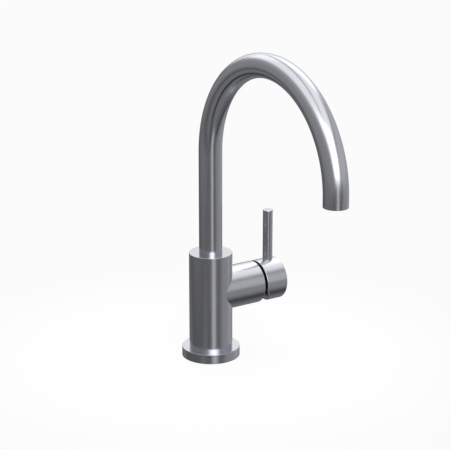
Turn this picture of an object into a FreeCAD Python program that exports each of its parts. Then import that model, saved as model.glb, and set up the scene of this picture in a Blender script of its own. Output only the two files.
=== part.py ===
import FreeCAD, Part
import math
import os
import re
import Sketcher

# Gooseneck bar faucet with a side lever, in millimetres.
# +Z is up and the deck is z = 0. The origin is the centre of the base on the deck.
# The spout at rest points along -Y and the handle's axis runs along +X.

# Driving sizes. "x" sizes are distances from the body's axis along the handle's axis.
SIZES = {
    # body and base
    "body_diameter": 45.0,
    "body_top": 112.5,
    "body_edge": 0.3,
    "foot_step": 3.5,
    "flange_diameter": 60.4,
    "flange_height": 10.0,
    "flange_edge": 0.3,
    "gasket_width": 4.5,
    "gasket_depth": 2.5,
    # threaded holes in the underside, at their tapping diameters
    "stud_bore": 6.8,
    "stud_depth": 20.0,
    "stud_setback": 9.5,
    "hose_bore": 9.0,
    "hose_depth": 14.0,
    "supply_bore": 6.5,
    "supply_forward": 8.0,
    "supply_spacing": 17.0,
    # side housing
    "handle_height": 70.0,
    "housing_wall": 2.95,
    "housing_edge": 0.5,
    "cavity_floor_x": 19.5,
    # cartridge shell and base
    "cartridge_diameter": 35.0,
    "cartridge_lift": 0.5,
    "casing_wall": 1.7,
    "casing_roof": 2.3,
    "neck_length": 4.0,
    "neck_wall": 1.8,
    "neck_gap": 1.4,
    "base_rim": 2.0,
    "base_height": 4.5,
    "peg_diameter": 2.8,
    "peg_length": 2.4,
    "peg_side": 10.5,
    "peg_drop": 5.5,
    "inlet_port": 5.2,
    "inlet_rise": 4.5,
    "port_rib": 0.7,
    "outlet_port": 6.4,
    "outlet_drop": 5.3,
    "seal_section": 1.5,
    "disc_seal_section": 1.0,
    # discs, carrier and guide
    "disc_height": 3.5,
    "disc_inset": 2.3,
    "moving_disc_height": 2.4,
    "moving_disc_run": 1.9,
    "mixing_depth": 1.2,
    "carrier_width": 22.2,
    "carrier_grip": 2.1,
    "ball_diameter": 5.0,
    "arm_diameter": 3.0,
    "pivot_arm": 7.5,
    "pivot_cover": 1.4,
    "pivot_pin_diameter": 3.5,
    "pivot_pin_inset": 1.6,
    "lift_angle": 20.0,
    # cartridge nut and gap ring
    "nut_overlap": 1.7,
    "nut_height": 6.0,
    "nut_inset": 1.7,
    "nut_slot_width": 4.0,
    "nut_slot_depth": 2.5,
    "gap_ring_setback": 0.5,
    # handle
    "hub_gap": 3.2,
    "hub_length": 25.15,
    "hub_wall": 2.5,
    "hub_recess": 6.5,
    "hub_rim_edge": 0.6,
    "hub_end_edge": 0.8,
    "bevel_drop": 3.0,
    "bevel_spare_angle": 6.6,
    "stem_width": 8.0,
    "stem_boss_wall": 0.5,
    "stem_socket": 9.5,
    "rod_diameter": 10.4,
    "rod_inset": 14.4,
    "rod_length": 54.55,
    "rod_edge": 1.2,
    "rod_seat_depth": 1.4,
    "rod_thread": 6.0,
    "rod_thread_length": 8.5,
    "hub_screw_diameter": 5.0,
    "hub_screw_length": 8.0,
    "hub_screw_inset": 13.0,
    "hex_key": 2.5,
    "hex_depth": 2.5,
    # spout
    "tube_diameter": 24.1,
    "tube_wall": 1.5,
    "tube_edge": 0.35,
    "tube_depth": 3.5,
    "bend_height": 219.8,
    "bend_radius": 104.25,
    "outlet_straight": 7.8,
    # spigot and its socket in the body
    "passage_bore": 10.0,
    "spigot_bore": 15.0,
    "spigot_plug": 8.0,
    "washer_height": 1.2,
    "washer_bore": 16.0,
    "lower_ring_height": 2.5,
    "upper_ring_height": 3.5,
    "ring_groove_depth": 1.2,
    "land": 1.5,
    "o_ring_section": 2.0,
    "screw_groove_play": 0.5,
    "screw_groove_depth": 1.7,
    "screw_diameter": 5.0,
    "screw_tip_diameter": 3.0,
    "screw_inset": 1.0,
    # outlet, measured upwards from the tube's end
    "insert_setback": 1.0,
    "insert_length": 9.0,
    "insert_lip": 2.0,
    "insert_wall": 1.3,
    "lip_width": 1.5,
    "aerator_setback": 0.6,
    "aerator_wall": 1.1,
    "aerator_ledge": 0.8,
    "aerator_notch_width": 2.6,
    "aerator_notch_depth": 1.2,
    "seal_height": 1.1,
    "seal_width": 1.9,
    "grid_height": 1.6,
    "grid_hole": 1.3,
    "grid_rim": 1.2,
    "screen_height": 0.4,
    "screen_hole": 1.0,
    "core_hole": 1.2,
    # clearances
    "fit": 0.1,
    "loose_fit": 0.15,
    "running_fit": 0.05,
    "free_gap": 0.3,
    "lapped_gap": 0.05,
    # how far a cutting outline reaches past the solid that it cuts
    "overcut": 1.0,
}

# Places and radii worked out from the driving sizes.
DERIVED = {
    "body_radius": "(body_diameter / 2)",
    "flange_radius": "(flange_diameter / 2)",
    "foot_radius": "(body_radius - foot_step)",
    "gasket_middle": "((foot_radius + flange_radius) / 2)",
    "gasket_inner": "(gasket_middle - gasket_width / 2)",
    "gasket_outer": "(gasket_middle + gasket_width / 2)",
    # cartridge, from the cavity's floor outwards
    "cartridge_radius": "(cartridge_diameter / 2)",
    "cavity_radius": "(cartridge_radius + loose_fit)",
    "casing_bore": "(cartridge_radius - casing_wall)",
    "base_x": "(cavity_floor_x + cartridge_lift)",
    "base_top_x": "(base_x + base_height)",
    "fixed_disc_top_x": "(base_top_x + disc_height)",
    "moving_disc_x": "(fixed_disc_top_x + lapped_gap)",
    "carrier_x": "(moving_disc_x + moving_disc_height)",
    "ball_x": "(carrier_x + free_gap + ball_diameter / 2)",
    "carrier_top_x": "(ball_x + carrier_grip)",
    "guide_x": "(carrier_x + free_gap)",
    "plate_x": "(carrier_top_x + free_gap)",
    "pivot_x": "(ball_x + pivot_arm)",
    "pin_radius": "(pivot_pin_diameter / 2)",
    "guide_top_x": "(pivot_x + pin_radius + pivot_cover)",
    "roof_x": "(guide_top_x + free_gap)",
    "shoulder_x": "(roof_x + casing_roof)",
    "neck_end_x": "(shoulder_x + neck_length)",
    "nut_end_x": "(shoulder_x + nut_height)",
    "housing_x": "(nut_end_x + nut_inset)",
    "hub_x": "(housing_x + hub_gap)",
    "gap_ring_end_x": "(hub_x - gap_ring_setback)",
    "hub_floor_x": "(hub_x + hub_recess)",
    "stem_end_x": "(hub_floor_x + stem_socket)",
    "rod_x": "(hub_x + rod_inset)",
    "hub_screw_x": "(hub_x + hub_screw_inset)",
    # cartridge radii
    "inlet_side": "(inlet_port / 2 + seal_section + 2 * fit + port_rib)",
    "disc_travel": "(pivot_arm * sin(lift_angle))",
    "disc_radius": "(casing_bore - disc_inset)",
    "moving_disc_radius": "(casing_bore - disc_travel - moving_disc_run)",
    "carrier_radius": "(casing_bore - disc_travel - 3 * free_gap)",
    "guide_radius": "(casing_bore - 2 * fit)",
    "channel_half": "(carrier_width / 2 + free_gap)",
    "pin_length": "(2 * (guide_radius - pivot_pin_inset))",
    "boss_radius": "(stem_width / 2 + stem_boss_wall)",
    "stem_half": "(stem_width / 2 / cos(lift_angle))",
    "slot_half": "((guide_top_x - pivot_x) * tan(lift_angle) + stem_half + 2 * free_gap)",
    "neck_swing": "((neck_end_x - pivot_x) * tan(lift_angle) + stem_half)",
    "neck_bore": "(sqrt(neck_swing ^ 2 + stem_width ^ 2 / 4) + neck_gap)",
    "neck_radius": "(neck_bore + neck_wall)",
    "nut_radius": "(cartridge_radius + nut_overlap)",
    "nut_bore_radius": "(nut_radius + fit)",
    "housing_radius": "(nut_bore_radius + housing_wall)",
    "hub_radius": "(housing_radius)",
    "hub_bore": "(hub_radius - hub_wall)",
    "bevel_angle": "(lift_angle + bevel_spare_angle)",
    "rod_radius": "(rod_diameter / 2)",
    "rod_foot": "(hub_radius - rod_seat_depth)",
    "rod_top": "(hub_radius + rod_length)",
    # spout and spigot, from the top of the body downwards
    "tube_radius": "(tube_diameter / 2)",
    "tube_bore": "(tube_radius - tube_wall)",
    "socket_radius": "(tube_radius + fit + running_fit)",
    "screw_groove_width": "(screw_tip_diameter + 2 * screw_groove_play)",
    "o_ring_groove": "(o_ring_section + 2 * free_gap)",
    "tube_foot": "(body_top - tube_depth)",
    "upper_ring_high": "(tube_foot - land)",
    "upper_ring_low": "(upper_ring_high - upper_ring_height)",
    "screw_groove_high": "(upper_ring_low - land)",
    "screw_groove_low": "(screw_groove_high - screw_groove_width)",
    "screw_height": "((screw_groove_low + screw_groove_high) / 2)",
    "upper_o_high": "(screw_groove_low - land)",
    "upper_o_low": "(upper_o_high - o_ring_groove)",
    "lower_o_high": "(upper_o_low - land)",
    "lower_o_low": "(lower_o_high - o_ring_groove)",
    "lower_ring_high": "(lower_o_low - land)",
    "lower_ring_low": "(lower_ring_high - lower_ring_height)",
    "spigot_foot": "(lower_ring_low - land)",
    "socket_floor": "(spigot_foot - 2 * lapped_gap - washer_height)",
    "groove_floor": "(tube_radius - ring_groove_depth)",
    "screw_groove_floor": "(tube_radius - screw_groove_depth)",
    "o_ring_outer": "(socket_radius - running_fit)",
    "o_ring_radius": "(o_ring_outer - o_ring_section / 2)",
    "o_ring_floor": "(o_ring_outer - o_ring_section)",
    "glide_outer": "(socket_radius - running_fit)",
    # outlet
    "outlet_height": "(bend_height - outlet_straight)",
    "insert_radius": "(tube_bore - fit)",
    "insert_top": "(insert_setback + insert_length)",
    "lip_low": "(insert_top - insert_lip)",
    "insert_bore": "(insert_radius - insert_wall)",
    "lip_bore": "(insert_bore - lip_width)",
    "aerator_radius": "(insert_bore - fit)",
    "aerator_bore": "(aerator_radius - aerator_wall)",
    "aerator_top": "(lip_low - seal_height)",
    "core_radius": "(aerator_bore - fit)",
    "grid_low": "(aerator_setback + aerator_ledge)",
    "grid_pitch": "((core_radius - grid_hole / 2 - grid_rim) / 3)",
    "screen_low": "(grid_low + grid_height)",
    "screen_high_low": "(screen_low + 2 * screen_height)",
    "core_low": "(screen_high_low + screen_height)",
}

UP = FreeCAD.Vector(0, 0, 1)
ALONG_HANDLE = FreeCAD.Vector(1, 0, 0)
ALONG_SPOUT = FreeCAD.Vector(0, -1, 0)
# An outline is first drawn as a regular polygon of this radius, which its constraints then move.
FIRST_DRAWN_RADIUS = 50.0
# Two edges count as being at the same end of a solid when they are closer than this.
SAME_PLACE = 0.001

document = FreeCAD.newDocument("faucet")
sheet = document.addObject("Spreadsheet::Sheet", "Sizes")
for row, (alias, value) in enumerate(SIZES.items(), start=1):
    sheet.set(f"A{row}", alias)
    sheet.set(f"B{row}", str(value))
    sheet.setAlias(f"B{row}", alias)
document.recompute()


def formula(text):
    """The expression text with derived names written out and sizes read from the sheet."""
    def swap(match):
        word = match.group()
        if word in DERIVED:
            return formula(DERIVED[word])
        return f"Sizes.{word}" if word in SIZES else word
    return re.sub(r"[a-z][a-z_]+", swap, text)


def bind(thing, prop, text):
    thing.setExpression(prop, formula(text))


def new_body(label):
    body = document.addObject("PartDesign::Body", label)
    body.Label = label
    return body


def sketch_on(body, role, offset="0"):
    """A sketch on one of the body's origin planes, moved along the plane's normal."""
    sketch = body.newObject("Sketcher::SketchObject", "Sketch")
    plane = next(f for f in body.Origin.OriginFeatures if f.Role == role)
    sketch.AttachmentSupport = (plane, [""])
    sketch.MapMode = "FlatFace"
    bind(sketch, "AttachmentOffset.Base.z", offset)
    return sketch


def constrain(sketch, kind, *where, text):
    index = sketch.addConstraint(Sketcher.Constraint(kind, *where, 1.0))
    bind(sketch, f"Constraints[{index}]", text)


def add_circle(sketch, radius, across="0", up="0"):
    circle = Part.Circle(FreeCAD.Vector(0, 0, 0), FreeCAD.Vector(0, 0, 1), 1.0)
    index = sketch.addGeometry(circle, False)
    constrain(sketch, "Radius", index, text=radius)
    constrain(sketch, "DistanceX", index, 3, text=across)
    constrain(sketch, "DistanceY", index, 3, text=up)


def add_outline(sketch, corners):
    """A closed outline of straight edges through corners given as (across, up)."""
    count = len(corners)
    turn = FreeCAD.Rotation(FreeCAD.Vector(0, 0, 1), 360.0 / count)
    start = FreeCAD.Vector(FIRST_DRAWN_RADIUS, 0, 0)
    edges = []
    for _ in corners:
        end = turn.multVec(start)
        edges.append(sketch.addGeometry(Part.LineSegment(start, end), False))
        start = end
    for number, edge in enumerate(edges, start=1):
        following = edges[number % count]
        sketch.addConstraint(Sketcher.Constraint("Coincident", edge, 2, following, 1))
    for edge, (across, up) in zip(edges, corners):
        constrain(sketch, "DistanceX", edge, 1, text=across)
        constrain(sketch, "DistanceY", edge, 1, text=up)


def rectangle(low, left, high, right):
    return [(left, low), (right, low), (right, high), (left, high)]


def pad(body, sketch, length, both_ways=False):
    feature = body.newObject("PartDesign::Pad", "Pad")
    feature.Profile = sketch
    feature.Midplane = both_ways
    bind(feature, "Length", length)
    return feature


def pocket(body, sketch, length, reverse=False, both_ways=False):
    feature = body.newObject("PartDesign::Pocket", "Pocket")
    feature.Profile = sketch
    feature.Reversed = reverse
    feature.Midplane = both_ways
    bind(feature, "Length", length)
    return feature


def bore(body, role, start, radius, depth, across="0", up="0", reverse=False):
    """A round hole cut from a plane at start, against the plane's normal unless reversed."""
    sketch = sketch_on(body, role, start)
    add_circle(sketch, radius, across, up)
    return pocket(body, sketch, depth, reverse)


def spin(body, role, axis, corners):
    """A turned solid: the outline of half its section, turned about a sketch axis."""
    sketch = sketch_on(body, role)
    add_outline(sketch, corners)
    feature = body.newObject("PartDesign::Revolution", "Revolution")
    feature.Profile = sketch
    feature.ReferenceAxis = (sketch, [axis])
    feature.Angle = 360.0
    return feature


def turned_about_z(label, corners):
    """corners are (radius, height)."""
    body = new_body(label)
    spin(body, "XZ_Plane", "V_Axis", corners)
    return body


def turned_about_x(label, corners):
    """corners are (x, radius), on the handle's axis."""
    body = new_body(label)
    spin(body, "XZ_Plane", "H_Axis", corners)
    on_handle_axis(body)
    return body


def on_handle_axis(thing):
    bind(thing, "Placement.Base.z", "handle_height")


def at_outlet(thing):
    """Places a piece modelled upwards from the spout's end."""
    bind(thing, "Placement.Base.y", "-2 * bend_radius")
    bind(thing, "Placement.Base.z", "outlet_height")


def repeat_about_z(body, feature, count):
    pattern = body.newObject("PartDesign::PolarPattern", "PolarPattern")
    pattern.Originals = [feature]
    axis = next(f for f in body.Origin.OriginFeatures if f.Role == "Z_Axis")
    pattern.Axis = (axis, [""])
    pattern.Angle = 360.0
    pattern.Occurrences = count
    body.Tip = pattern


def round_edges(body, radius, choose):
    """Rounds the edges that choose picks from the solid made so far."""
    document.recompute()
    tip = body.Tip
    chosen = choose(tip.Shape)
    names = [
        f"Edge{number}" for number, edge in enumerate(tip.Shape.Edges, start=1)
        if any(edge.isSame(pick) for pick in chosen)
    ]
    feature = body.newObject("PartDesign::Fillet", "Fillet")
    feature.Base = (tip, names)
    bind(feature, "Radius", radius)


def end_circles(shape, direction):
    """The circular edges centred farthest along a direction."""
    circles = [edge for edge in shape.Edges if isinstance(edge.Curve, Part.Circle)]
    reach = max(edge.Curve.Center.dot(direction) for edge in circles)
    return [edge for edge in circles if edge.Curve.Center.dot(direction) > reach - SAME_PLACE]


def outer_end_edge(direction):
    """Chooses the widest of the circular edges at one end of a solid."""
    def choose(shape):
        return [max(end_circles(shape, direction), key=lambda edge: edge.Curve.Radius)]
    return choose


def part_cylinder(label, radius, length, axis="z"):
    cylinder = document.addObject("Part::Cylinder", label)
    cylinder.Label = label
    bind(cylinder, "Radius", radius)
    bind(cylinder, "Height", length)
    if axis == "x":
        cylinder.Placement.Rotation = FreeCAD.Rotation(FreeCAD.Vector(0, 1, 0), 90)
    if axis == "y":
        cylinder.Placement.Rotation = FreeCAD.Rotation(FreeCAD.Vector(1, 0, 0), 90)
    return cylinder


def part_torus(label, ring_radius, section, axis="z"):
    torus = document.addObject("Part::Torus", label)
    torus.Label = label
    bind(torus, "Radius1", ring_radius)
    bind(torus, "Radius2", f"({section}) / 2")
    if axis == "x":
        torus.Placement.Rotation = FreeCAD.Rotation(FreeCAD.Vector(0, 1, 0), 90)
    return torus


def place(thing, x="0", y="0", z="0"):
    bind(thing, "Placement.Base.x", x)
    bind(thing, "Placement.Base.y", y)
    bind(thing, "Placement.Base.z", z)
    return thing


def group(label, pieces):
    """Several alike pieces in one node."""
    compound = document.addObject("Part::Compound", label)
    compound.Label = label
    compound.Links = pieces
    return compound


def make_valve_body():
    body = new_body("valve_body")
    foot = sketch_on(body, "XY_Plane")
    add_circle(foot, "foot_radius")
    pad(body, foot, "flange_height")
    barrel = sketch_on(body, "XY_Plane", "flange_height")
    add_circle(barrel, "body_radius")
    pad(body, barrel, "body_top - flange_height")
    housing = sketch_on(body, "YZ_Plane")
    add_circle(housing, "housing_radius", "0", "handle_height")
    pad(body, housing, "housing_x")
    cut_cartridge_cavity(body)
    cut_spout_socket(body)
    cut_waterways(body)
    bore(body, "XY_Plane", "0", "stud_bore / 2", "stud_depth", "-stud_setback", "0", reverse=True)
    bore(body, "XZ_Plane", "-body_radius", "screw_diameter / 2 + running_fit", "body_radius",
         "0", "screw_height", reverse=True)
    round_edges(body, "body_edge", outer_end_edge(UP))
    round_edges(body, "housing_edge", outer_end_edge(ALONG_HANDLE))
    return body


def cut_cartridge_cavity(body):
    bore(body, "YZ_Plane", "housing_x", "cavity_radius", "housing_x - cavity_floor_x",
         "0", "handle_height")
    bore(body, "YZ_Plane", "housing_x", "nut_bore_radius", "housing_x - shoulder_x",
         "0", "handle_height")
    pegs = sketch_on(body, "YZ_Plane", "cavity_floor_x")
    for side in ("peg_side", "-peg_side"):
        add_circle(pegs, "peg_diameter / 2 + fit", side, "handle_height - peg_drop")
    pocket(body, pegs, "peg_length - cartridge_lift + free_gap")


def cut_spout_socket(body):
    bore(body, "XY_Plane", "body_top", "socket_radius", "body_top - socket_floor")
    bore(body, "XY_Plane", "socket_floor", "passage_bore / 2",
         "socket_floor - handle_height + outlet_drop + outlet_port / 2")


def cut_waterways(body):
    """Hot and cold rise to the cartridge's floor, and mixed water leaves it for the socket."""
    bore(body, "YZ_Plane", "cavity_floor_x", "outlet_port / 2", "cavity_floor_x",
         "0", "handle_height - outlet_drop")
    cross = sketch_on(body, "YZ_Plane", "cavity_floor_x")
    for side in ("inlet_side", "-inlet_side"):
        add_circle(cross, "inlet_port / 2", side, "handle_height + inlet_rise")
    pocket(body, cross, "cavity_floor_x - supply_forward")
    for radius, depth in (("hose_bore / 2", "hose_depth"),
                          ("supply_bore / 2", "handle_height + inlet_rise + inlet_port / 2")):
        sketch = sketch_on(body, "XY_Plane")
        for side in ("supply_spacing / 2", "-supply_spacing / 2"):
            add_circle(sketch, radius, "supply_forward", side)
        pocket(body, sketch, depth, reverse=True)


def make_base_flange():
    body = turned_about_z("base_flange", [
        ("foot_radius + fit", "0"),
        ("gasket_inner - fit", "0"),
        ("gasket_inner - fit", "gasket_depth"),
        ("gasket_outer + fit", "gasket_depth"),
        ("gasket_outer + fit", "0"),
        ("flange_radius", "0"),
        ("flange_radius", "flange_height"),
        ("foot_radius + fit", "flange_height"),
    ])
    round_edges(body, "flange_edge", outer_end_edge(UP))
    return body


def make_ring(label, inner, outer, low, high):
    return turned_about_z(label, rectangle(low, inner, high, outer))


def make_ring_on_handle_axis(label, inner, outer, start, end):
    return turned_about_x(label, [(start, inner), (end, inner), (end, outer), (start, outer)])


def cut_hexagon(body, role, start, depth, reverse=False, across="0", up="0"):
    """A hex key's socket, cut from a plane at start."""
    sketch = sketch_on(body, role, start)
    corners = [
        (f"{across} + hex_key / sqrt(3) * cos({turn})", f"{up} + hex_key / sqrt(3) * sin({turn})")
        for turn in range(0, 360, 60)
    ]
    add_outline(sketch, corners)
    return pocket(body, sketch, depth, reverse)


def make_spout_retaining_screw():
    """A grub screw with a dog point, in the back of the body, that holds the spigot down."""
    body = new_body("spout_retaining_screw")
    sketch = sketch_on(body, "XZ_Plane", "screw_inset - body_radius")
    add_circle(sketch, "screw_diameter / 2", "0", "screw_height")
    pad(body, sketch, "body_radius - screw_inset - socket_radius - fit")
    tip = sketch_on(body, "XZ_Plane", "-socket_radius - fit")
    add_circle(tip, "screw_tip_diameter / 2", "0", "screw_height")
    pad(body, tip, "socket_radius + fit - screw_groove_floor - free_gap")
    cut_hexagon(body, "XZ_Plane", "screw_inset - body_radius", "hex_depth", reverse=True,
                up="screw_height")
    return body


def make_cartridge_base():
    body = turned_about_x("cartridge_base", [
        ("base_x", "0"),
        ("base_x", "cartridge_radius"),
        ("base_x + base_rim", "cartridge_radius"),
        ("base_x + base_rim", "casing_bore - fit"),
        ("base_top_x", "casing_bore - fit"),
        ("base_top_x", "0"),
    ])
    pegs = sketch_on(body, "YZ_Plane", "base_x")
    for side in ("peg_side", "-peg_side"):
        add_circle(pegs, "peg_diameter / 2", side, "-peg_drop")
    feature = pad(body, pegs, "peg_length")
    feature.Reversed = True
    ports = sketch_on(body, "YZ_Plane", "base_top_x")
    add_ports(ports, "0")
    pocket(body, ports, "base_height")
    lower = sketch_on(body, "YZ_Plane", "base_x")
    add_ports(lower, "seal_section + 2 * fit")
    pocket(body, lower, "seal_section - cartridge_lift", reverse=True)
    upper = sketch_on(body, "YZ_Plane", "base_top_x")
    add_ports(upper, "disc_seal_section + 2 * fit")
    pocket(body, upper, "disc_seal_section")
    return body


def add_ports(sketch, wider):
    """The two inlets and the outlet, each wider by the given amount on the radius."""
    for side in ("inlet_side", "-inlet_side"):
        add_circle(sketch, f"inlet_port / 2 + {wider}", side, "inlet_rise")
    add_circle(sketch, f"outlet_port / 2 + {wider}", "0", "-outlet_drop")


def make_port_seal(label, port, section, x, y, rise):
    torus = part_torus(label, f"{port} / 2 + fit + {section} / 2", section, axis="x")
    return place(torus, x, y, f"handle_height + {rise}")


def make_port_seals():
    middle = "cavity_floor_x + seal_section / 2"
    inlets = [
        make_port_seal(f"inlet_seal_{name}", "inlet_port", "seal_section", middle, side, "inlet_rise")
        for name, side in (("left", "-inlet_side"), ("right", "inlet_side"))
    ]
    outlet = make_port_seal("outlet_port_seal", "outlet_port", "seal_section", middle,
                            "0", "-outlet_drop")
    return [group("inlet_port_seals", inlets), outlet]


def make_fixed_disc_seals():
    middle = "base_top_x - disc_seal_section / 2"
    seals = [
        make_port_seal(f"disc_seal_{name}", port, "disc_seal_section", middle, side, rise)
        for name, port, side, rise in (
            ("left", "inlet_port", "-inlet_side", "inlet_rise"),
            ("right", "inlet_port", "inlet_side", "inlet_rise"),
            ("outlet", "outlet_port", "0", "-outlet_drop"),
        )
    ]
    return group("fixed_disc_seals", seals)


def make_cartridge_casing():
    return turned_about_x("cartridge_casing", [
        ("base_x + base_rim", "casing_bore"),
        ("base_x + base_rim", "cartridge_radius"),
        ("shoulder_x", "cartridge_radius"),
        ("shoulder_x", "neck_radius"),
        ("neck_end_x", "neck_radius"),
        ("neck_end_x", "neck_bore"),
        ("roof_x", "neck_bore"),
        ("roof_x", "casing_bore"),
    ])


def make_fixed_ceramic_disc():
    body = new_body("fixed_ceramic_disc")
    sketch = sketch_on(body, "YZ_Plane", "base_top_x")
    add_circle(sketch, "disc_radius")
    pad(body, sketch, "disc_height")
    ports = sketch_on(body, "YZ_Plane", "fixed_disc_top_x")
    add_ports(ports, "0")
    pocket(body, ports, "disc_height")
    on_handle_axis(body)
    return body


def make_moving_ceramic_disc():
    """Its blind pocket joins the inlets to the outlet once the disc has slid up."""
    body = new_body("moving_ceramic_disc")
    sketch = sketch_on(body, "YZ_Plane", "moving_disc_x")
    add_circle(sketch, "moving_disc_radius")
    pad(body, sketch, "moving_disc_height")
    mixing = "(inlet_side - inlet_port / 4)"
    bore(body, "YZ_Plane", "moving_disc_x", mixing, "mixing_depth", "0",
         "inlet_rise - inlet_side", reverse=True)
    bore(body, "YZ_Plane", "moving_disc_x", "outlet_port / 2", "mixing_depth", "0",
         "-outlet_drop", reverse=True)
    on_handle_axis(body)
    return body


def make_disc_carrier():
    body = new_body("disc_carrier")
    height = "carrier_top_x - carrier_x"
    sketch = sketch_on(body, "YZ_Plane", "carrier_x")
    add_circle(sketch, "carrier_radius")
    pad(body, sketch, height)
    for side, other in (("carrier_width / 2", "cartridge_radius"),
                        ("-carrier_width / 2", "-cartridge_radius")):
        flat = sketch_on(body, "YZ_Plane", "carrier_top_x")
        add_outline(flat, rectangle("-cartridge_radius", side, "cartridge_radius", other))
        pocket(body, flat, height)
    bore(body, "YZ_Plane", "carrier_top_x", "ball_diameter / 2 + loose_fit", height)
    on_handle_axis(body)
    return body


def make_lever_guide():
    """The turning middle of the cartridge: two rails for the carrier and a slot for the stem."""
    body = new_body("lever_guide")
    sketch = sketch_on(body, "YZ_Plane", "guide_x")
    add_circle(sketch, "guide_radius")
    pad(body, sketch, "guide_top_x - guide_x")
    channel = sketch_on(body, "YZ_Plane", "guide_x")
    add_outline(channel, rectangle("-cartridge_radius", "-channel_half",
                                   "cartridge_radius", "channel_half"))
    pocket(body, channel, "plate_x - guide_x", reverse=True)
    slot = sketch_on(body, "YZ_Plane", "guide_top_x")
    half_width = "(stem_width / 2 + loose_fit)"
    add_outline(slot, rectangle("-slot_half", f"-{half_width}", "slot_half", half_width))
    pocket(body, slot, "guide_top_x - plate_x")
    pin = sketch_on(body, "XZ_Plane")
    add_circle(pin, "pin_radius", "pivot_x", "0")
    pocket(body, pin, "cartridge_diameter", both_ways=True)
    on_handle_axis(body)
    return body


def make_pivot_pin():
    pin = part_cylinder("pivot_pin", "pin_radius", "pin_length", axis="y")
    return place(pin, "pivot_x", "pin_length / 2", "handle_height")


def make_lever_stem():
    """A square bar with the pivot's boss, and an arm whose ball end pushes the carrier."""
    bar = document.addObject("Part::Box", "stem_bar")
    bind(bar, "Length", "stem_end_x - pivot_x - fit")
    bind(bar, "Width", "stem_width")
    bind(bar, "Height", "stem_width")
    place(bar, "pivot_x", "-stem_width / 2", "handle_height - stem_width / 2")
    boss = part_cylinder("stem_boss", "boss_radius", "stem_width", axis="y")
    place(boss, "pivot_x", "stem_width / 2", "handle_height")
    arm = part_cylinder("stem_arm", "arm_diameter / 2", "pivot_arm", axis="x")
    place(arm, "ball_x", "0", "handle_height")
    ball = document.addObject("Part::Sphere", "stem_ball")
    bind(ball, "Radius", "ball_diameter / 2")
    place(ball, "ball_x", "0", "handle_height")
    solid = document.addObject("Part::MultiFuse", "stem_solid")
    solid.Shapes = [bar, boss, arm, ball]
    hole = part_cylinder("stem_hole", "pin_radius + running_fit", "2 * stem_width", axis="y")
    place(hole, "pivot_x", "stem_width", "handle_height")
    stem = document.addObject("Part::Cut", "lever_stem")
    stem.Label = "lever_stem"
    stem.Base = solid
    stem.Tool = hole
    return stem


def make_cartridge_nut():
    body = make_ring_on_handle_axis("cartridge_nut", "neck_radius + 2 * fit", "nut_radius",
                                    "shoulder_x", "nut_end_x")
    for left, low, right, high in (
        ("-housing_radius", "-nut_slot_width / 2", "housing_radius", "nut_slot_width / 2"),
        ("-nut_slot_width / 2", "-housing_radius", "nut_slot_width / 2", "housing_radius"),
    ):
        slot = sketch_on(body, "YZ_Plane", "nut_end_x")
        add_outline(slot, rectangle(low, left, high, right))
        pocket(body, slot, "nut_slot_depth")
    return body


def make_handle_hub():
    body = new_body("handle_hub")
    sketch = sketch_on(body, "YZ_Plane", "hub_x")
    add_circle(sketch, "hub_radius")
    pad(body, sketch, "hub_length")
    # the rim is cut away obliquely below the axis, so that the hub can tilt past the housing
    below = "(hub_radius + overcut)"
    before = "(hub_x - overcut)"
    bevel = sketch_on(body, "XZ_Plane")
    add_outline(bevel, [
        (before, "-bevel_drop + overcut / tan(bevel_angle)"),
        (before, f"-{below}"),
        (f"hub_x + ({below} - bevel_drop) * tan(bevel_angle)", f"-{below}"),
    ])
    pocket(body, bevel, "2 * (hub_radius + overcut)", both_ways=True)
    bore(body, "YZ_Plane", "hub_x", "hub_bore", "hub_recess", reverse=True)
    socket = sketch_on(body, "YZ_Plane", "hub_floor_x")
    half = "(stem_width / 2 + running_fit)"
    add_outline(socket, rectangle(f"-{half}", f"-{half}", half, half))
    pocket(body, socket, "stem_socket", reverse=True)
    bore(body, "XY_Plane", "hub_radius", "rod_radius + running_fit", "rod_seat_depth", "rod_x")
    bore(body, "XY_Plane", "hub_radius", "rod_thread / 2 + running_fit",
         "rod_seat_depth + rod_thread_length + free_gap", "rod_x")
    bore(body, "XY_Plane", "-hub_radius", "hub_screw_diameter / 2 + running_fit",
         "hub_radius - stem_width / 2", "hub_screw_x", reverse=True)
    round_edges(body, "hub_rim_edge", hub_rim)
    round_edges(body, "hub_end_edge", outer_end_edge(ALONG_HANDLE))
    on_handle_axis(body)
    return body


def hub_rim(shape):
    """The rim's outer edge: the arc on its flat face, and the ellipse that the bevel leaves."""
    arc = max(end_circles(shape, -ALONG_HANDLE), key=lambda edge: edge.Curve.Radius)
    ellipses = [edge for edge in shape.Edges if isinstance(edge.Curve, Part.Ellipse)]
    return [arc, max(ellipses, key=lambda edge: edge.Curve.MinorRadius)]


def make_lever_rod():
    body = new_body("lever_rod")
    sketch = sketch_on(body, "XY_Plane", "rod_foot")
    add_circle(sketch, "rod_radius", "rod_x")
    pad(body, sketch, "rod_top - rod_foot")
    thread = sketch_on(body, "XY_Plane", "rod_foot")
    add_circle(thread, "rod_thread / 2", "rod_x")
    pad(body, thread, "rod_thread_length").Reversed = True
    round_edges(body, "rod_edge", outer_end_edge(UP))
    on_handle_axis(body)
    return body


def make_hub_set_screw():
    body = new_body("hub_set_screw")
    end = "(-stem_width / 2 - running_fit)"
    sketch = sketch_on(body, "XY_Plane", end)
    add_circle(sketch, "hub_screw_diameter / 2", "hub_screw_x")
    pad(body, sketch, "hub_screw_length").Reversed = True
    cut_hexagon(body, "XY_Plane", f"{end} - hub_screw_length", "hex_depth", reverse=True,
                across="hub_screw_x")
    on_handle_axis(body)
    return body


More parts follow.
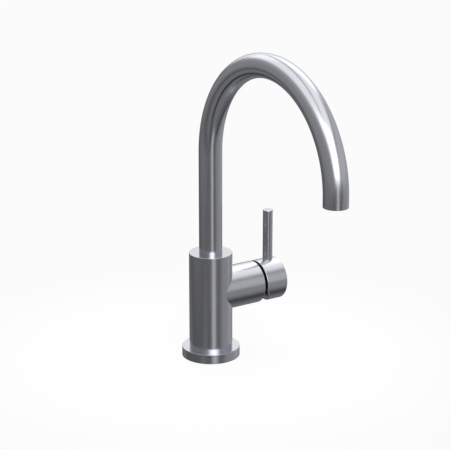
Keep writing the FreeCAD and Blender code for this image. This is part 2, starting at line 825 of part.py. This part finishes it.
def spout_path(body):
    """The tube's centre line: up, half a turn towards the outlet, and a short way down."""
    path = sketch_on(body, "YZ_Plane")
    bend = SIZES["bend_radius"]
    height = SIZES["bend_height"]
    foot = FreeCAD.Vector(0, SIZES["body_top"], 0)
    start = FreeCAD.Vector(0, height, 0)
    centre = FreeCAD.Vector(-bend, height, 0)
    finish = FreeCAD.Vector(-2 * bend, height, 0)
    end = finish - FreeCAD.Vector(0, SIZES["outlet_straight"], 0)
    rise = path.addGeometry(Part.LineSegment(foot, start), False)
    circle = Part.Circle(centre, UP, bend)
    arc = path.addGeometry(Part.ArcOfCircle(circle, 0, math.pi), False)
    fall = path.addGeometry(Part.LineSegment(finish, end), False)
    path.addConstraint(Sketcher.Constraint("Coincident", rise, 2, arc, 1))
    path.addConstraint(Sketcher.Constraint("Coincident", arc, 2, fall, 1))
    path.addConstraint(Sketcher.Constraint("Vertical", fall))
    constrain(path, "DistanceX", rise, 1, text="0")
    constrain(path, "DistanceY", rise, 1, text="tube_foot")
    constrain(path, "DistanceX", rise, 2, text="0")
    constrain(path, "DistanceY", rise, 2, text="bend_height")
    constrain(path, "DistanceY", arc, 3, text="bend_height")
    constrain(path, "Radius", arc, text="bend_radius")
    constrain(path, "DistanceY", fall, 1, text="bend_height")
    constrain(path, "DistanceY", fall, 2, text="outlet_height")
    return path


def make_spout_tube():
    body = new_body("spout_tube")
    path = spout_path(body)
    section = sketch_on(body, "XY_Plane", "tube_foot")
    add_circle(section, "tube_radius")
    add_circle(section, "tube_bore")
    document.recompute()
    pipe = body.newObject("PartDesign::AdditivePipe", "AdditivePipe")
    pipe.Profile = section
    pipe.Spine = (path, ["Edge1", "Edge2", "Edge3"])
    round_edges(body, "tube_edge", lambda shape: end_circles(shape, ALONG_SPOUT))
    return body


def make_spout_spigot():
    """Plugged into the tube, with grooves for rings, O-rings and the retaining screw."""
    outer = "tube_radius"
    grooves = (
        ("groove_floor", "lower_ring_low", "lower_ring_high"),
        ("o_ring_floor", "lower_o_low", "lower_o_high"),
        ("o_ring_floor", "upper_o_low", "upper_o_high"),
        ("screw_groove_floor", "screw_groove_low", "screw_groove_high"),
        ("groove_floor", "upper_ring_low", "upper_ring_high"),
    )
    corners = [("spigot_bore / 2", "spigot_foot"), (outer, "spigot_foot")]
    for floor, low, high in grooves:
        corners += [(outer, low), (floor, low), (floor, high), (outer, high)]
    corners += [
        (outer, "tube_foot"),
        ("tube_bore - fit", "tube_foot"),
        ("tube_bore - fit", "tube_foot + spigot_plug"),
        ("spigot_bore / 2", "tube_foot + spigot_plug"),
    ]
    return turned_about_z("spout_spigot", corners)


def make_spigot_o_rings():
    rings = [
        place(part_torus(f"o_ring_{name}", "o_ring_radius", "o_ring_section"),
              z=f"({low} + {high}) / 2")
        for name, low, high in (("lower", "lower_o_low", "lower_o_high"),
                                ("upper", "upper_o_low", "upper_o_high"))
    ]
    return group("spigot_o_rings", rings)


def make_glide_ring(label, low, high):
    """A ring with a narrow split, so that it springs into its groove."""
    body = make_ring(label, "groove_floor + fit", "glide_outer", f"{low} + fit", f"{high} - fit")
    split = sketch_on(body, "YZ_Plane")
    add_outline(split, rectangle(low, "0", high, "socket_radius + overcut"))
    pocket(body, split, "2 * free_gap", both_ways=True)
    return body


def make_outlet_insert():
    body = turned_about_z("outlet_insert", [
        ("insert_bore", "insert_setback"),
        ("insert_radius", "insert_setback"),
        ("insert_radius", "insert_top"),
        ("lip_bore", "insert_top"),
        ("lip_bore", "lip_low"),
        ("insert_bore", "lip_low"),
    ])
    at_outlet(body)
    return body


def make_aerator_housing():
    """A threaded shell with an inner ledge for the grid and four notches for the key."""
    body = turned_about_z("aerator_housing", [
        ("aerator_bore - aerator_ledge", "aerator_setback"),
        ("aerator_radius", "aerator_setback"),
        ("aerator_radius", "aerator_top"),
        ("aerator_bore", "aerator_top"),
        ("aerator_bore", "grid_low"),
        ("aerator_bore - aerator_ledge", "grid_low"),
    ])
    for left, low, right, high in (
        ("-tube_radius", "-aerator_notch_width / 2", "tube_radius", "aerator_notch_width / 2"),
        ("-aerator_notch_width / 2", "-tube_radius", "aerator_notch_width / 2", "tube_radius"),
    ):
        notch = sketch_on(body, "XY_Plane", "aerator_setback")
        add_outline(notch, rectangle(low, left, high, right))
        pocket(body, notch, "aerator_notch_depth", reverse=True)
    at_outlet(body)
    return body


def make_perforated_disc(label, low, height, hole, rings=3):
    """A disc with a central hole and rings of 6, 12 and 18 holes about it."""
    body = new_body(label)
    sketch = sketch_on(body, "XY_Plane", low)
    add_circle(sketch, "core_radius")
    pad(body, sketch, height)
    bore(body, "XY_Plane", low, f"{hole} / 2", height, reverse=True)
    for ring in range(1, rings + 1):
        drilled = bore(body, "XY_Plane", low, f"{hole} / 2", height, f"{ring} * grid_pitch",
                       reverse=True)
        repeat_about_z(body, drilled, 6 * ring)
    return body


def make_aerator_pieces():
    grid = make_perforated_disc("aerator_grid", "grid_low", "grid_height", "grid_hole")
    core = make_perforated_disc("aerator_core", "core_low", "aerator_top - core_low", "core_hole",
                                rings=2)
    screens = [
        make_perforated_disc(f"screen_{name}", low, "screen_height", "screen_hole")
        for name, low in (("lower", "screen_low"), ("upper", "screen_high_low"))
    ]
    stack = group("aerator_screens", screens)
    for piece in (grid, core, stack):
        at_outlet(piece)
    return [grid, core, stack]


def make_aerator_seal():
    body = make_ring("aerator_seal", "aerator_radius - seal_width", "aerator_radius",
                     "aerator_top", "lip_low")
    at_outlet(body)
    return body


pieces = [
    make_valve_body(),
    make_base_flange(),
    make_ring("base_gasket", "gasket_inner", "gasket_outer", "0", "gasket_depth"),
    make_ring("thrust_washer", "washer_bore / 2", "socket_radius - fit",
              "socket_floor", "socket_floor + washer_height"),
    make_spout_retaining_screw(),
    make_cartridge_base(),
    *make_port_seals(),
    make_fixed_disc_seals(),
    make_cartridge_casing(),
    make_fixed_ceramic_disc(),
    make_cartridge_nut(),
    make_ring_on_handle_axis("gap_ring", "neck_radius + 2 * free_gap", "nut_radius - 2 * fit",
                             "nut_end_x", "gap_ring_end_x"),
    make_lever_guide(),
    make_pivot_pin(),
    make_lever_stem(),
    make_handle_hub(),
    make_lever_rod(),
    make_hub_set_screw(),
    make_disc_carrier(),
    make_moving_ceramic_disc(),
    make_spout_tube(),
    make_spout_spigot(),
    make_spigot_o_rings(),
    make_glide_ring("lower_glide_ring", "lower_ring_low", "lower_ring_high"),
    make_glide_ring("upper_glide_ring", "upper_ring_low", "upper_ring_high"),
    make_outlet_insert(),
    make_aerator_housing(),
    make_aerator_seal(),
    *make_aerator_pieces(),
]
document.recompute()

for thing in document.Objects:
    if "Invalid" in thing.State or "Error" in thing.State:
        raise RuntimeError(f"{thing.Label} failed: {thing.State}")
for piece in pieces:
    if piece.Shape.isNull() or not piece.Shape.isValid():
        raise RuntimeError(f"{piece.Label} has no valid shape")

os.makedirs("parts", exist_ok=True)
for piece in pieces:
    piece.Shape.exportStep(os.path.join("parts", f"{piece.Label}.step"))
    box = piece.Shape.BoundBox
    print(f"{piece.Label}: {len(piece.Shape.Solids)} solid(s), {piece.Shape.Volume:.1f} mm3, "
          f"x {box.XMin:.2f}..{box.XMax:.2f} y {box.YMin:.2f}..{box.YMax:.2f} "
          f"z {box.ZMin:.2f}..{box.ZMax:.2f}")
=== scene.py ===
import bpy
import math
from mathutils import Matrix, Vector


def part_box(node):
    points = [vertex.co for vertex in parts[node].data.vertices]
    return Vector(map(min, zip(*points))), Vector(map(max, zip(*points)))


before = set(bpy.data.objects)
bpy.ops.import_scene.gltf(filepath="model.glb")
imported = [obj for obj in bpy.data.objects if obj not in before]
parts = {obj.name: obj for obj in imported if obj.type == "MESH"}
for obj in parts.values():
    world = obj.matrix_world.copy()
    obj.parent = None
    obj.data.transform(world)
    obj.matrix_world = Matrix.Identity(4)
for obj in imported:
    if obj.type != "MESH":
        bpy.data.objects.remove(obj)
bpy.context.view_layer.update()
bpy.ops.object.select_all(action="DESELECT")
print("frame loaded:", len(parts), "nodes")

# where the main pieces are, read from the frame
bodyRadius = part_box("valve_body")[1].y
hubLow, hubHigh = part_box("handle_hub")
tubeLow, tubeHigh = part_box("spout_tube")
handleHeight = (hubLow.z + hubHigh.z) / 2
tubeRadius = tubeHigh.x
bendRadius = -(tubeLow.y + tubeHigh.y) / 2
bendHeight = tubeHigh.z - bendRadius - tubeRadius
rodLow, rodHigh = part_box("lever_rod")
onHandleAxis = (0, 0, handleHeight)
onRodAxis = ((rodLow.x + rodHigh.x) / 2, 0, 0)
onOutletAxis = (0, -2 * bendRadius, 0)

shot = {
    "turn": -33.56,          # degrees round the faucet, 0 looks along +Y
    "tilt": 17.146,          # degrees above the deck
    "distance": 1.5936,      # metres from the aim point
    "aimAcross": 0.0148,     # the aim point, to the right of the body's axis
    "aimHeight": 0.1417,
    "lens": 124.06,          # millimetres
    "sensor": 36.0,          # millimetres
    "nearest": 0.05,         # metres, nothing closer or farther than these two is drawn
    "farthest": 60.0,
}


def aimCamera():
    turn = math.radians(shot["turn"])
    tilt = math.radians(shot["tilt"])
    right = Vector((math.cos(turn), math.sin(turn), 0))
    back = Vector((math.sin(turn) * math.cos(tilt), -math.cos(turn) * math.cos(tilt),
                   math.sin(tilt)))
    aim = right * shot["aimAcross"] + Vector((0, 0, shot["aimHeight"]))
    data = bpy.data.cameras.new("shotCamera")
    data.lens = shot["lens"]
    data.sensor_width = shot["sensor"]
    data.clip_start = shot["nearest"]
    data.clip_end = shot["farthest"]
    camera = bpy.data.objects.new("shotCamera", data)
    camera.location = aim + back * shot["distance"]
    camera.rotation_euler = (math.pi / 2 - tilt, 0, turn)
    bpy.context.scene.collection.objects.link(camera)
    bpy.context.scene.camera = camera


aimCamera()
print("camera placed")


def newMaterial(name):
    material = bpy.data.materials.new(name)
    material.use_nodes = True
    tree = material.node_tree
    return material, tree, tree.nodes["Principled BSDF"]


def addNode(tree, kind, **settings):
    node = tree.nodes.new(kind)
    for key, value in settings.items():
        setattr(node, key, value)
    return node


def feed(tree, slot, value):
    # a socket is linked, a number, vector or colour is set
    if isinstance(value, bpy.types.NodeSocket):
        tree.links.new(value, slot)
    elif value is not None:
        slot.default_value = value


def math2(tree, operation, a, b=None):
    node = addNode(tree, "ShaderNodeMath", operation=operation)
    for slot, value in zip(node.inputs, (a, b)):
        feed(tree, slot, value)
    return node.outputs[0]


def vectorMath(tree, operation, a, b=None):
    node = addNode(tree, "ShaderNodeVectorMath", operation=operation)
    for slot, value in zip(node.inputs, (a, b)):
        feed(tree, slot, value)
    return node


def scaled(tree, vector, factor):
    node = vectorMath(tree, "SCALE", vector)
    node.inputs["Scale"].default_value = factor
    return node.outputs[0]


def joinXyz(tree, x, y, z):
    node = addNode(tree, "ShaderNodeCombineXYZ")
    for slot, value in zip(node.inputs, (x, y, z)):
        feed(tree, slot, value)
    return node.outputs[0]


def splitXyz(tree, vector):
    node = addNode(tree, "ShaderNodeSeparateXYZ")
    tree.links.new(vector, node.inputs[0])
    return node.outputs


def objectPlace(tree):
    return addNode(tree, "ShaderNodeTexCoord").outputs["Object"]


def mixColours(tree, factor, first, second):
    # the first colour where the factor is 0 and the second where it is 1
    node = addNode(tree, "ShaderNodeMix", data_type="RGBA")
    for index, value in ((0, factor), (6, first), (7, second)):    # 6 and 7 are the colour sockets
        feed(tree, node.inputs[index], value)
    return node.outputs[2]


def noise(tree, vector, scale, detail=2.0, rough=0.5):
    node = addNode(tree, "ShaderNodeTexNoise", noise_dimensions="3D")
    tree.links.new(vector, node.inputs["Vector"])
    node.inputs["Scale"].default_value = scale
    node.inputs["Detail"].default_value = detail
    node.inputs["Roughness"].default_value = rough
    return node.outputs[0]


def remap(tree, value, low, high, toLow, toHigh, kind="LINEAR"):
    node = addNode(tree, "ShaderNodeMapRange", interpolation_type=kind, clamp=True)
    tree.links.new(value, node.inputs[0])
    for index, number in enumerate((low, high, toLow, toHigh), start=1):
        node.inputs[index].default_value = number
    return node.outputs[0]


def tones(tree, shader, value, colour, variation):
    # the base colour, darker where the value is 0 and lighter where it is 1
    darker = (*[part * (1 - variation) for part in colour], 1)
    lighter = (*[part * (1 + variation) for part in colour], 1)
    tree.links.new(mixColours(tree, value, darker, lighter), shader.inputs["Base Color"])


def bump(tree, shader, height, distance, strength):
    node = addNode(tree, "ShaderNodeBump")
    node.inputs["Distance"].default_value = distance
    node.inputs["Strength"].default_value = strength
    tree.links.new(height, node.inputs["Height"])
    tree.links.new(node.outputs[0], shader.inputs["Normal"])


noiseRange = (0.3, 0.7)    # nearly all values of a noise lie between these

steel = {
    "colour": (0.57, 0.576, 0.617),
    "edgeColour": (0.86, 0.87, 0.9),
    "roughLow": 0.18,
    "roughHigh": 0.25,
    "lineEvery": 0.00035,      # metres between brush lines
    "lineBreaks": 5.0,         # how often a line breaks up on its way round
    "lineDepth": 0.000004,
    "lineStrength": 0.18,
    "lineTone": 0.07,          # how much lighter or darker a brush line can be
    "toneRange": (0.25, 0.75),    # values of the lines that give the darkest and the lightest tone
    "lineShare": 0.6,          # how much of the gloss follows the brush lines, the rest follows the clouds
    "cloudSize": 28.0,         # slow changes of the finish, per metre
    "lineRun": 0.05,           # metres along the bent tube before a line changes
    "housingStart": 0.0001,    # metres outside the barrel where the side housing's brushing starts
}


def turnedPattern(tree, axis="z", middle=(0, 0, 0)):
    # brush lines that run round an axis, on the side and on the end faces, with no seam
    turn = addNode(tree, "ShaderNodeMapping", vector_type="TEXTURE")
    tree.links.new(objectPlace(tree), turn.inputs["Vector"])
    turn.inputs["Location"].default_value = middle
    if axis == "x":
        turn.inputs["Rotation"].default_value = (0, math.pi / 2, 0)
    local = turn.outputs[0]
    flat = vectorMath(tree, "MULTIPLY", local, (1, 1, 0)).outputs[0]
    radius = vectorMath(tree, "LENGTH", flat).outputs["Value"]
    around = scaled(tree, vectorMath(tree, "NORMALIZE", flat).outputs[0], steel["lineBreaks"])
    step = math2(tree, "ADD", splitXyz(tree, local)["Z"], radius)
    line = math2(tree, "DIVIDE", step, steel["lineEvery"])
    return vectorMath(tree, "ADD", around, joinXyz(tree, 0, 0, line)).outputs[0]


def bentPattern(tree):
    # brush lines that run along the bent tube, fine in the angle round its centre line
    place = splitXyz(tree, objectPlace(tree))
    across = math2(tree, "ADD", place["Y"], bendRadius)
    fromBend = math2(tree, "SUBTRACT", place["Z"], bendHeight)
    above = math2(tree, "MAXIMUM", fromBend, 0.0)
    below = math2(tree, "MINIMUM", fromBend, 0.0)
    reach = vectorMath(tree, "LENGTH", joinXyz(tree, across, above, 0)).outputs["Value"]
    outwards = math2(tree, "SUBTRACT", reach, bendRadius)
    side = vectorMath(tree, "NORMALIZE", joinXyz(tree, place["X"], outwards, 0)).outputs[0]
    travel = math2(tree, "MULTIPLY", math2(tree, "ARCTAN2", above, across), bendRadius)
    run = math2(tree, "MULTIPLY", math2(tree, "ADD", travel, below), 1 / steel["lineRun"])
    fine = scaled(tree, side, tubeRadius / steel["lineEvery"])
    return vectorMath(tree, "ADD", fine, joinXyz(tree, 0, 0, run)).outputs[0]


def finishSteel(tree, shader, pattern):
    lines = noise(tree, pattern, 1.0, rough=0.6)
    clouds = noise(tree, objectPlace(tree), steel["cloudSize"])
    rough = math2(tree, "ADD", math2(tree, "MULTIPLY", lines, steel["lineShare"]),
                  math2(tree, "MULTIPLY", clouds, 1 - steel["lineShare"]))
    tree.links.new(remap(tree, rough, *noiseRange, steel["roughLow"], steel["roughHigh"]),
                   shader.inputs["Roughness"])
    tones(tree, shader, remap(tree, lines, *steel["toneRange"], 0, 1), steel["colour"], steel["lineTone"])
    shader.inputs["Specular Tint"].default_value = (*steel["edgeColour"], 1)
    shader.inputs["Metallic"].default_value = 1.0
    bump(tree, shader, lines, steel["lineDepth"], steel["lineStrength"])


def turnedSteel(name, **place):
    material, tree, shader = newMaterial(name)
    finishSteel(tree, shader, turnedPattern(tree, **place))
    return material


def bodySteel():
    # the barrel is brushed round its own axis and the side housing round the handle's
    material, tree, shader = newMaterial("bodySteel")
    barrel = turnedPattern(tree)
    housing = turnedPattern(tree, axis="x", middle=onHandleAxis)
    flat = vectorMath(tree, "MULTIPLY", objectPlace(tree), (1, 1, 0)).outputs[0]
    reach = vectorMath(tree, "LENGTH", flat).outputs["Value"]
    onHousing = math2(tree, "GREATER_THAN", reach, bodyRadius + steel["housingStart"])
    blend = addNode(tree, "ShaderNodeMix", data_type="VECTOR")
    for index, value in ((0, onHousing), (4, barrel), (5, housing)):    # 4 and 5 are the vector sockets
        feed(tree, blend.inputs[index], value)
    finishSteel(tree, shader, blend.outputs[1])
    return material


def tubeSteel():
    material, tree, shader = newMaterial("tubeSteel")
    finishSteel(tree, shader, bentPattern(tree))
    return material


# grain counts per metre, depth is the relief's in metres, and nodes are the pieces that carry the finish
plainFinishes = [
    # gap_ring: black plastic, made darker and less glossy than plastic so that it also shows painted shade
    # in the gap between housing and hub
    {"name": "gapBlackAndShade", "colour": (0.005, 0.005, 0.0055), "rough": 0.6, "grain": 900.0, "gloss": 0.15,
     "nodes": ["gap_ring"]},
    {"name": "sealRubber", "colour": (0.018, 0.018, 0.019), "rough": 0.62, "grain": 1400.0,
     "nodes": ["base_gasket", "inlet_port_seals", "outlet_port_seal", "fixed_disc_seals",
               "spigot_o_rings", "aerator_seal"]},
    {"name": "aeratorBlack", "colour": (0.03, 0.03, 0.032), "rough": 0.42, "grain": 1100.0,
     "nodes": ["aerator_housing"]},
    {"name": "aeratorWhite", "colour": (0.78, 0.78, 0.76), "rough": 0.4, "grain": 1100.0,
     "variation": 0.04, "nodes": ["aerator_grid", "aerator_core"]},
    {"name": "bearingWhite", "colour": (0.8, 0.8, 0.77), "rough": 0.45, "grain": 900.0,
     "variation": 0.04, "nodes": ["thrust_washer", "lower_glide_ring", "upper_glide_ring",
                                  "lever_guide", "disc_carrier"]},
    {"name": "cartridgeGrey", "colour": (0.42, 0.43, 0.45), "rough": 0.45, "grain": 900.0,
     "variation": 0.06, "nodes": ["cartridge_base", "cartridge_casing"]},
    {"name": "lappedCeramic", "colour": (0.86, 0.84, 0.78), "rough": 0.18, "grain": 2200.0,
     "depth": 0.000002, "variation": 0.03, "nodes": ["fixed_ceramic_disc", "moving_ceramic_disc"]},
    {"name": "screwSteel", "colour": (0.36, 0.36, 0.38), "rough": 0.3, "grain": 1600.0, "metallic": 1.0,
     "nodes": ["spout_retaining_screw", "hub_set_screw", "pivot_pin", "aerator_screens"]},
]
usualFinish = {"depth": 0.00001, "metallic": 0.0, "variation": 0.12, "gloss": 0.5, "relief": 0.3,
               "roughSpread": (0.85, 1.15)}


def plainFinish(finish):
    # moulded, cast or machined surfaces: fine grain in colour, gloss and relief
    look = {**usualFinish, **finish}
    material, tree, shader = newMaterial(look["name"])
    fine = noise(tree, objectPlace(tree), look["grain"], detail=4.0, rough=0.6)
    tones(tree, shader, fine, look["colour"], look["variation"])
    low, high = [look["rough"] * share for share in look["roughSpread"]]
    tree.links.new(remap(tree, fine, *noiseRange, low, high), shader.inputs["Roughness"])
    shader.inputs["Metallic"].default_value = look["metallic"]
    shader.inputs["Specular IOR Level"].default_value = look["gloss"]
    bump(tree, shader, fine, look["depth"], look["relief"])
    return material


brass = {
    "colour": (0.78, 0.6, 0.32),
    "rough": 0.28,
    "roughSpread": (0.8, 1.25),
    "variation": 0.1,
    "markSize": 0.8,           # of the lathe marks, against the steel's brush lines
    "markDepth": 0.00001,      # metres
    "relief": 0.4,
}


def turnedBrass(name, **place):
    # lathe marks round an axis
    material, tree, shader = newMaterial(name)
    lines = noise(tree, turnedPattern(tree, **place), brass["markSize"], detail=1.0)
    low, high = [brass["rough"] * share for share in brass["roughSpread"]]
    tree.links.new(remap(tree, lines, *noiseRange, low, high), shader.inputs["Roughness"])
    tones(tree, shader, lines, brass["colour"], brass["variation"])
    shader.inputs["Metallic"].default_value = 1.0
    bump(tree, shader, lines, brass["markDepth"], brass["relief"])
    return material


finishes = [
    (bodySteel(), ["valve_body"]),
    (turnedSteel("flangeSteel"), ["base_flange"]),
    (turnedSteel("hubSteel", axis="x", middle=onHandleAxis), ["handle_hub"]),
    (turnedSteel("rodSteel", middle=onRodAxis), ["lever_rod"]),
    (tubeSteel(), ["spout_tube"]),
    (turnedBrass("brassOnHandleAxis", axis="x", middle=onHandleAxis), ["cartridge_nut", "lever_stem"]),
    (turnedBrass("brassOnBodyAxis"), ["spout_spigot"]),
    (turnedBrass("brassAtOutlet", middle=onOutletAxis), ["outlet_insert"]),
]
finishes += [(plainFinish(finish), finish["nodes"]) for finish in plainFinishes]
for material, names in finishes:
    for name in names:
        parts[name].data.materials.clear()
        parts[name].data.materials.append(material)
print("finishes set on", sum(len(names) for _, names in finishes), "nodes")


studio = {
    "tint": (0.985, 0.99, 1.0),      # of the light from every panel that has none of its own
    "facing": shot["turn"] - 90,     # world angle of the camera's side, which every turn counts from
}


def shownToAll(tree):
    # 1 for the rays that show the background: camera, glossy and transmission
    path = addNode(tree, "ShaderNodeLightPath")
    shown = math2(tree, "MAXIMUM", path.outputs["Is Camera Ray"], path.outputs["Is Glossy Ray"])
    return math2(tree, "MAXIMUM", shown, path.outputs["Is Transmission Ray"])


def plainTree(name):
    material = bpy.data.materials.new(name)
    material.use_nodes = True
    material.node_tree.nodes.clear()
    return material, material.node_tree


def fadeOut(tree, value, start, end):
    # 1 up to the start, falling smoothly to 0 at the end
    return remap(tree, value, start, end, 1, 0, kind="SMOOTHSTEP")


floorLook = {
    "size": 16.0,
    "drop": 0.0001,              # metres from the deck face down to the floor
    "colour": 0.13,
    "glow": 0.822,
    "paintedPoolGlow": 0.043,           # painted pool of light: how much brighter the floor glows round the foot
    "paintedPoolEdge": (0.11, 0.33),    # metres from the foot where that starts to fade, and where it ends
}


def makeFloor():
    bpy.ops.mesh.primitive_plane_add(size=floorLook["size"], location=(0, 0, -floorLook["drop"]))
    floor = bpy.context.object
    floor.name = "studioFloor"
    bpy.ops.object.transform_apply()
    material, tree = plainTree("floorWhite")
    matt = addNode(tree, "ShaderNodeBsdfDiffuse")
    matt.inputs["Color"].default_value = (*[floorLook["colour"]] * 3, 1)
    glow = addNode(tree, "ShaderNodeEmission")
    glow.inputs["Color"].default_value = (1, 1, 1, 1)
    # painted light: a pool of extra glow on the floor round the foot, fading with distance from it
    fromFoot = vectorMath(tree, "LENGTH", objectPlace(tree)).outputs["Value"]
    paintedPool = math2(tree, "MULTIPLY", fadeOut(tree, fromFoot, *floorLook["paintedPoolEdge"]), floorLook["paintedPoolGlow"])
    level = math2(tree, "MULTIPLY", shownToAll(tree), math2(tree, "ADD", paintedPool, floorLook["glow"]))
    tree.links.new(level, glow.inputs["Strength"])
    both = addNode(tree, "ShaderNodeAddShader")
    tree.links.new(matt.outputs[0], both.inputs[0])
    tree.links.new(glow.outputs[0], both.inputs[1])
    out = addNode(tree, "ShaderNodeOutputMaterial")
    tree.links.new(both.outputs[0], out.inputs["Surface"])
    floor.data.materials.append(material)
    floor.visible_glossy = False


def direction(turn, rise=0.0):
    # unit vector at an angle from the camera's side, positive to the camera's right
    angle = math.radians(studio["facing"] + turn)
    tilt = math.radians(rise)
    return Vector((math.cos(angle) * math.cos(tilt), math.sin(angle) * math.cos(tilt),
                   math.sin(tilt)))


def softEdge(tree, offset, half, soft):
    # 1 inside the half angle, falling to 0 over the soft edge; all three are angles
    away = math2(tree, "ABSOLUTE", offset)
    return fadeOut(tree, away, math.radians(half - soft / 2), math.radians(half + soft / 2))


def lightColour(level, tint):
    return (*[level * part for part in tint], 1)


# what the metal mirrors: a room of flat soft panels, painted on a dome one over the other
# turn: degrees to the camera's right; rise: degrees above the deck; wide, tall: half angles
panels = [
    {"name": "leftWall", "turn": -77, "rise": 18, "wide": 72, "tall": 30, "soft": 22, "glow": 0.34},
    {"name": "leftTop", "turn": -77, "rise": 42, "wide": 66, "tall": 12, "soft": 26, "glow": 0.5},
    {"name": "rightDeck", "turn": 112, "rise": -16, "wide": 52, "tall": 24, "soft": 22, "glow": 0.36},
    {"name": "farDeck", "turn": 140, "rise": -16, "wide": 30, "tall": 24, "soft": 46, "glow": 0.52},
    {"name": "rightWall", "turn": 112, "rise": 20, "wide": 62, "tall": 22, "soft": 20, "glow": 0.64},
    {"name": "backDeck", "turn": 178, "rise": -8, "wide": 16, "tall": 20, "soft": 12, "glow": 0.22},
    {"name": "underBack", "turn": 190, "rise": -46, "wide": 45, "tall": 21, "soft": 20, "glow": 0.27},
    {"name": "backWall", "turn": 180, "rise": 23, "wide": 27, "tall": 14, "soft": 8, "glow": 1.25,
     "tint": (1.0, 0.98, 0.935)},
    {"name": "ceiling", "turn": 13, "rise": 90, "wide": 43, "tall": 64, "soft": 13, "glow": 1.3},
    {"name": "ceilingBack", "turn": 182, "rise": 42, "wide": 32, "tall": 13, "soft": 14, "glow": 1.7},
    {"name": "ceilingSide", "turn": 156, "rise": 46, "wide": 18, "tall": 12, "soft": 14, "glow": 2.0},
    {"name": "ceilingGap", "turn": 13, "rise": 90, "wide": 3, "tall": 56, "soft": 5, "glow": 0.2},
    {"name": "leftStreak", "turn": -28, "rise": -18, "wide": 2.5, "tall": 12, "soft": 6, "glow": 0.26},
    {"name": "keyStreak", "turn": 17, "rise": -20, "wide": 9, "tall": 21, "soft": 11, "glow": 0.64},
    {"name": "keyTop", "turn": -9, "rise": 46, "wide": 18, "tall": 10, "soft": 12, "glow": 1.8},
    {"name": "keyBox", "turn": 17, "rise": 27, "wide": 24, "tall": 23, "soft": 12, "glow": 2.4},
    {"name": "keyCore", "turn": 17, "rise": 21, "wide": 12, "tall": 8, "soft": 7, "glow": 4.0},
    {"name": "leftDeck", "turn": -77, "rise": -66, "wide": 48, "tall": 38, "soft": 10, "glow": 0.25},
    {"name": "leftLineFar", "turn": -77, "rise": -23, "wide": 60, "tall": 2.2, "soft": 6, "glow": 0.08},
    {"name": "leftLineNear", "turn": -77, "rise": -56, "wide": 62, "tall": 5, "soft": 7, "glow": 0.0},
    {"name": "rightLine", "turn": 100, "rise": -49, "wide": 40, "tall": 4, "soft": 14, "glow": 0.03},
]


def paintPanel(tree, unit, level, panel):
    # a flat rectangle that faces the faucet, measured by its angles from the panel's middle
    middle = direction(panel["turn"], panel["rise"])
    across = direction(panel["turn"] + 90)
    axes = (middle, across, middle.cross(across))
    ahead, aside, above = [
        vectorMath(tree, "DOT_PRODUCT", unit, tuple(axis)).outputs["Value"] for axis in axes
    ]
    mask = math2(tree, "MULTIPLY",
                 softEdge(tree, math2(tree, "ARCTAN2", aside, ahead), panel["wide"], panel["soft"]),
                 softEdge(tree, math2(tree, "ARCTAN2", above, ahead), panel["tall"], panel["soft"]))
    return mixColours(tree, mask, level, lightColour(panel["glow"], panel.get("tint", studio["tint"])))


domeLook = {
    "radius": 6.0,
    "segments": 64,
    "rings": 32,
    "deckGlow": 0.175,           # what the metal mirrors where no panel is
}


def makeDome():
    bpy.ops.mesh.primitive_uv_sphere_add(segments=domeLook["segments"], ring_count=domeLook["rings"],
                                         radius=domeLook["radius"])
    dome = bpy.context.object
    dome.name = "panelDome"
    material, tree = plainTree("panelLight")
    unit = vectorMath(tree, "NORMALIZE", objectPlace(tree)).outputs[0]
    deck = addNode(tree, "ShaderNodeRGB")
    deck.outputs[0].default_value = lightColour(domeLook["deckGlow"], studio["tint"])
    level = deck.outputs[0]
    for panel in panels:
        level = paintPanel(tree, unit, level, panel)
    glow = addNode(tree, "ShaderNodeEmission")
    tree.links.new(level, glow.inputs["Color"])
    out = addNode(tree, "ShaderNodeOutputMaterial")
    tree.links.new(glow.outputs[0], out.inputs["Surface"])
    dome.data.materials.append(material)
    dome.visible_camera = False
    dome.visible_diffuse = False
    dome.visible_transmission = False
    dome.visible_shadow = False


# broad, far lamps behind the panels, for what isn't metal; turn and rise as above, spread in degrees
lamps = [
    {"name": "keySun", "turn": 17, "rise": 40, "strength": 1.1, "spread": 50},
    {"name": "backSun", "turn": 175, "rise": 50, "strength": 0.5, "spread": 60},
]
lampTint = (0.98, 0.99, 1.0)


def softSun(lamp):
    # hidden from the metal, because the dome already shows its reflection
    data = bpy.data.lights.new(lamp["name"], "SUN")
    data.energy = lamp["strength"]
    data.angle = math.radians(lamp["spread"])
    data.color = lampTint
    towards = direction(lamp["turn"], lamp["rise"])
    sun = bpy.data.objects.new(lamp["name"], data)
    sun.location = towards
    sun.rotation_euler = towards.to_track_quat("Z", "Y").to_euler()
    sun.visible_glossy = False
    bpy.context.scene.collection.objects.link(sun)


worldLook = {
    "background": 0.957,         # what the camera sees behind the faucet, where 1 is white
    "fill": 0.75,                # the even light that reaches what isn't metal
}


def makeWorld():
    world = bpy.data.worlds.new("studioWorld")
    bpy.context.scene.world = world
    world.use_nodes = True
    tree = world.node_tree
    tree.nodes.clear()
    level = math2(tree, "MULTIPLY", shownToAll(tree), worldLook["background"] - worldLook["fill"])
    level = math2(tree, "ADD", level, worldLook["fill"])
    back = addNode(tree, "ShaderNodeBackground")
    back.inputs["Color"].default_value = (1, 1, 1, 1)
    tree.links.new(level, back.inputs["Strength"])
    out = addNode(tree, "ShaderNodeOutputWorld")
    tree.links.new(back.outputs[0], out.inputs["Surface"])


makeFloor()
makeDome()
makeWorld()
for lamp in lamps:
    softSun(lamp)
bpy.context.scene.view_settings.view_transform = "Standard"
print("studio ready")
